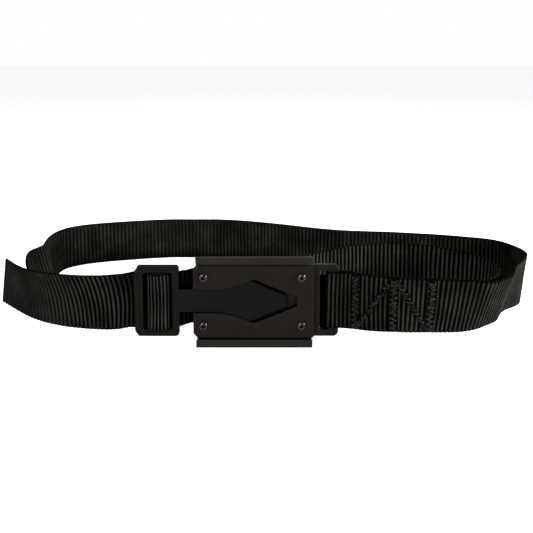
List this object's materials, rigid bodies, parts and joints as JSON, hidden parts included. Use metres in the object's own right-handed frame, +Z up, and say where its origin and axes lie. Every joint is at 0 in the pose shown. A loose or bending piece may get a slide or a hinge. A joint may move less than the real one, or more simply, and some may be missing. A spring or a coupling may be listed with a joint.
{
  "type": "dive weight belt",
  "caption": "Nylon webbing dive weight belt closed by a plate buckle with an arrow-shaped tongue, standing on edge with its slack pulled back behind the buckle.",
  "frame": {"origin": "middle of the belt's outline in plan, on the surface that the belt stands on", "axes": "+X along the belt to the wearer's sewn side, +Y from the buckle's face to the back of the belt, +Z up across the webbing"},
  "size_m": [0.5156, 0.2218, 0.081],
  "materials": {
    "black_anodised_aluminium": "satin",
    "black_acetal": "satin",
    "stainless_screw": "polished",
    "black_nylon_webbing": "matte",
    "black_thread": "matte",
    "zinc_steel": "satin",
    "nickel_magnet": "polished"
  },
  "bodies": {
    "buckle_and_belt": {"front_plate": "black_anodised_aluminium", "loop_plate": "black_anodised_aluminium", "rear_cover": "black_anodised_aluminium", "return_spring": "zinc_steel", "plate_screw_1": "stainless_screw", "spacer_1": "zinc_steel", "plate_screw_2": "stainless_screw", "spacer_2": "zinc_steel", "plate_screw_3": "stainless_screw", "spacer_3": "zinc_steel", "plate_screw_4": "stainless_screw", "spacer_4": "zinc_steel", "stitch_diagonal_1": "black_thread", "stitch_diagonal_2": "black_thread", "stitch_bar_1": "black_thread", "stitch_bar_2": "black_thread", "stitch_bar_3": "black_thread", "webbing_sewn_end": "black_nylon_webbing", "webbing_right_turn": "black_nylon_webbing", "webbing_back": "black_nylon_webbing", "webbing_left_turn": "black_nylon_webbing", "webbing_pass_behind": "black_nylon_webbing", "webbing_slack_turn": "black_nylon_webbing", "webbing_slack_arm": "black_nylon_webbing"},
    "tongue": {"tongue": "black_acetal", "keeper_disc_1": "zinc_steel", "keeper_disc_2": "zinc_steel", "adjuster_bar": "zinc_steel", "webbing_tail": "black_nylon_webbing"},
    "release_slide": {"release_slide": "black_anodised_aluminium", "magnet_1": "nickel_magnet", "magnet_2": "nickel_magnet"}
  },
  "joints": [
    {"name": "tongue_release", "type": "slide", "parent": "buckle_and_belt", "child": "tongue", "axis": [0, -1, 0], "range_m": [0, 0.04]},
    {"name": "release_slide_travel", "type": "slide", "parent": "buckle_and_belt", "child": "release_slide", "axis": [1, 0, 0], "range_m": [0, 0.006], "stiffness_N_per_m": 400, "deforming": ["return_spring"]}
  ]
}
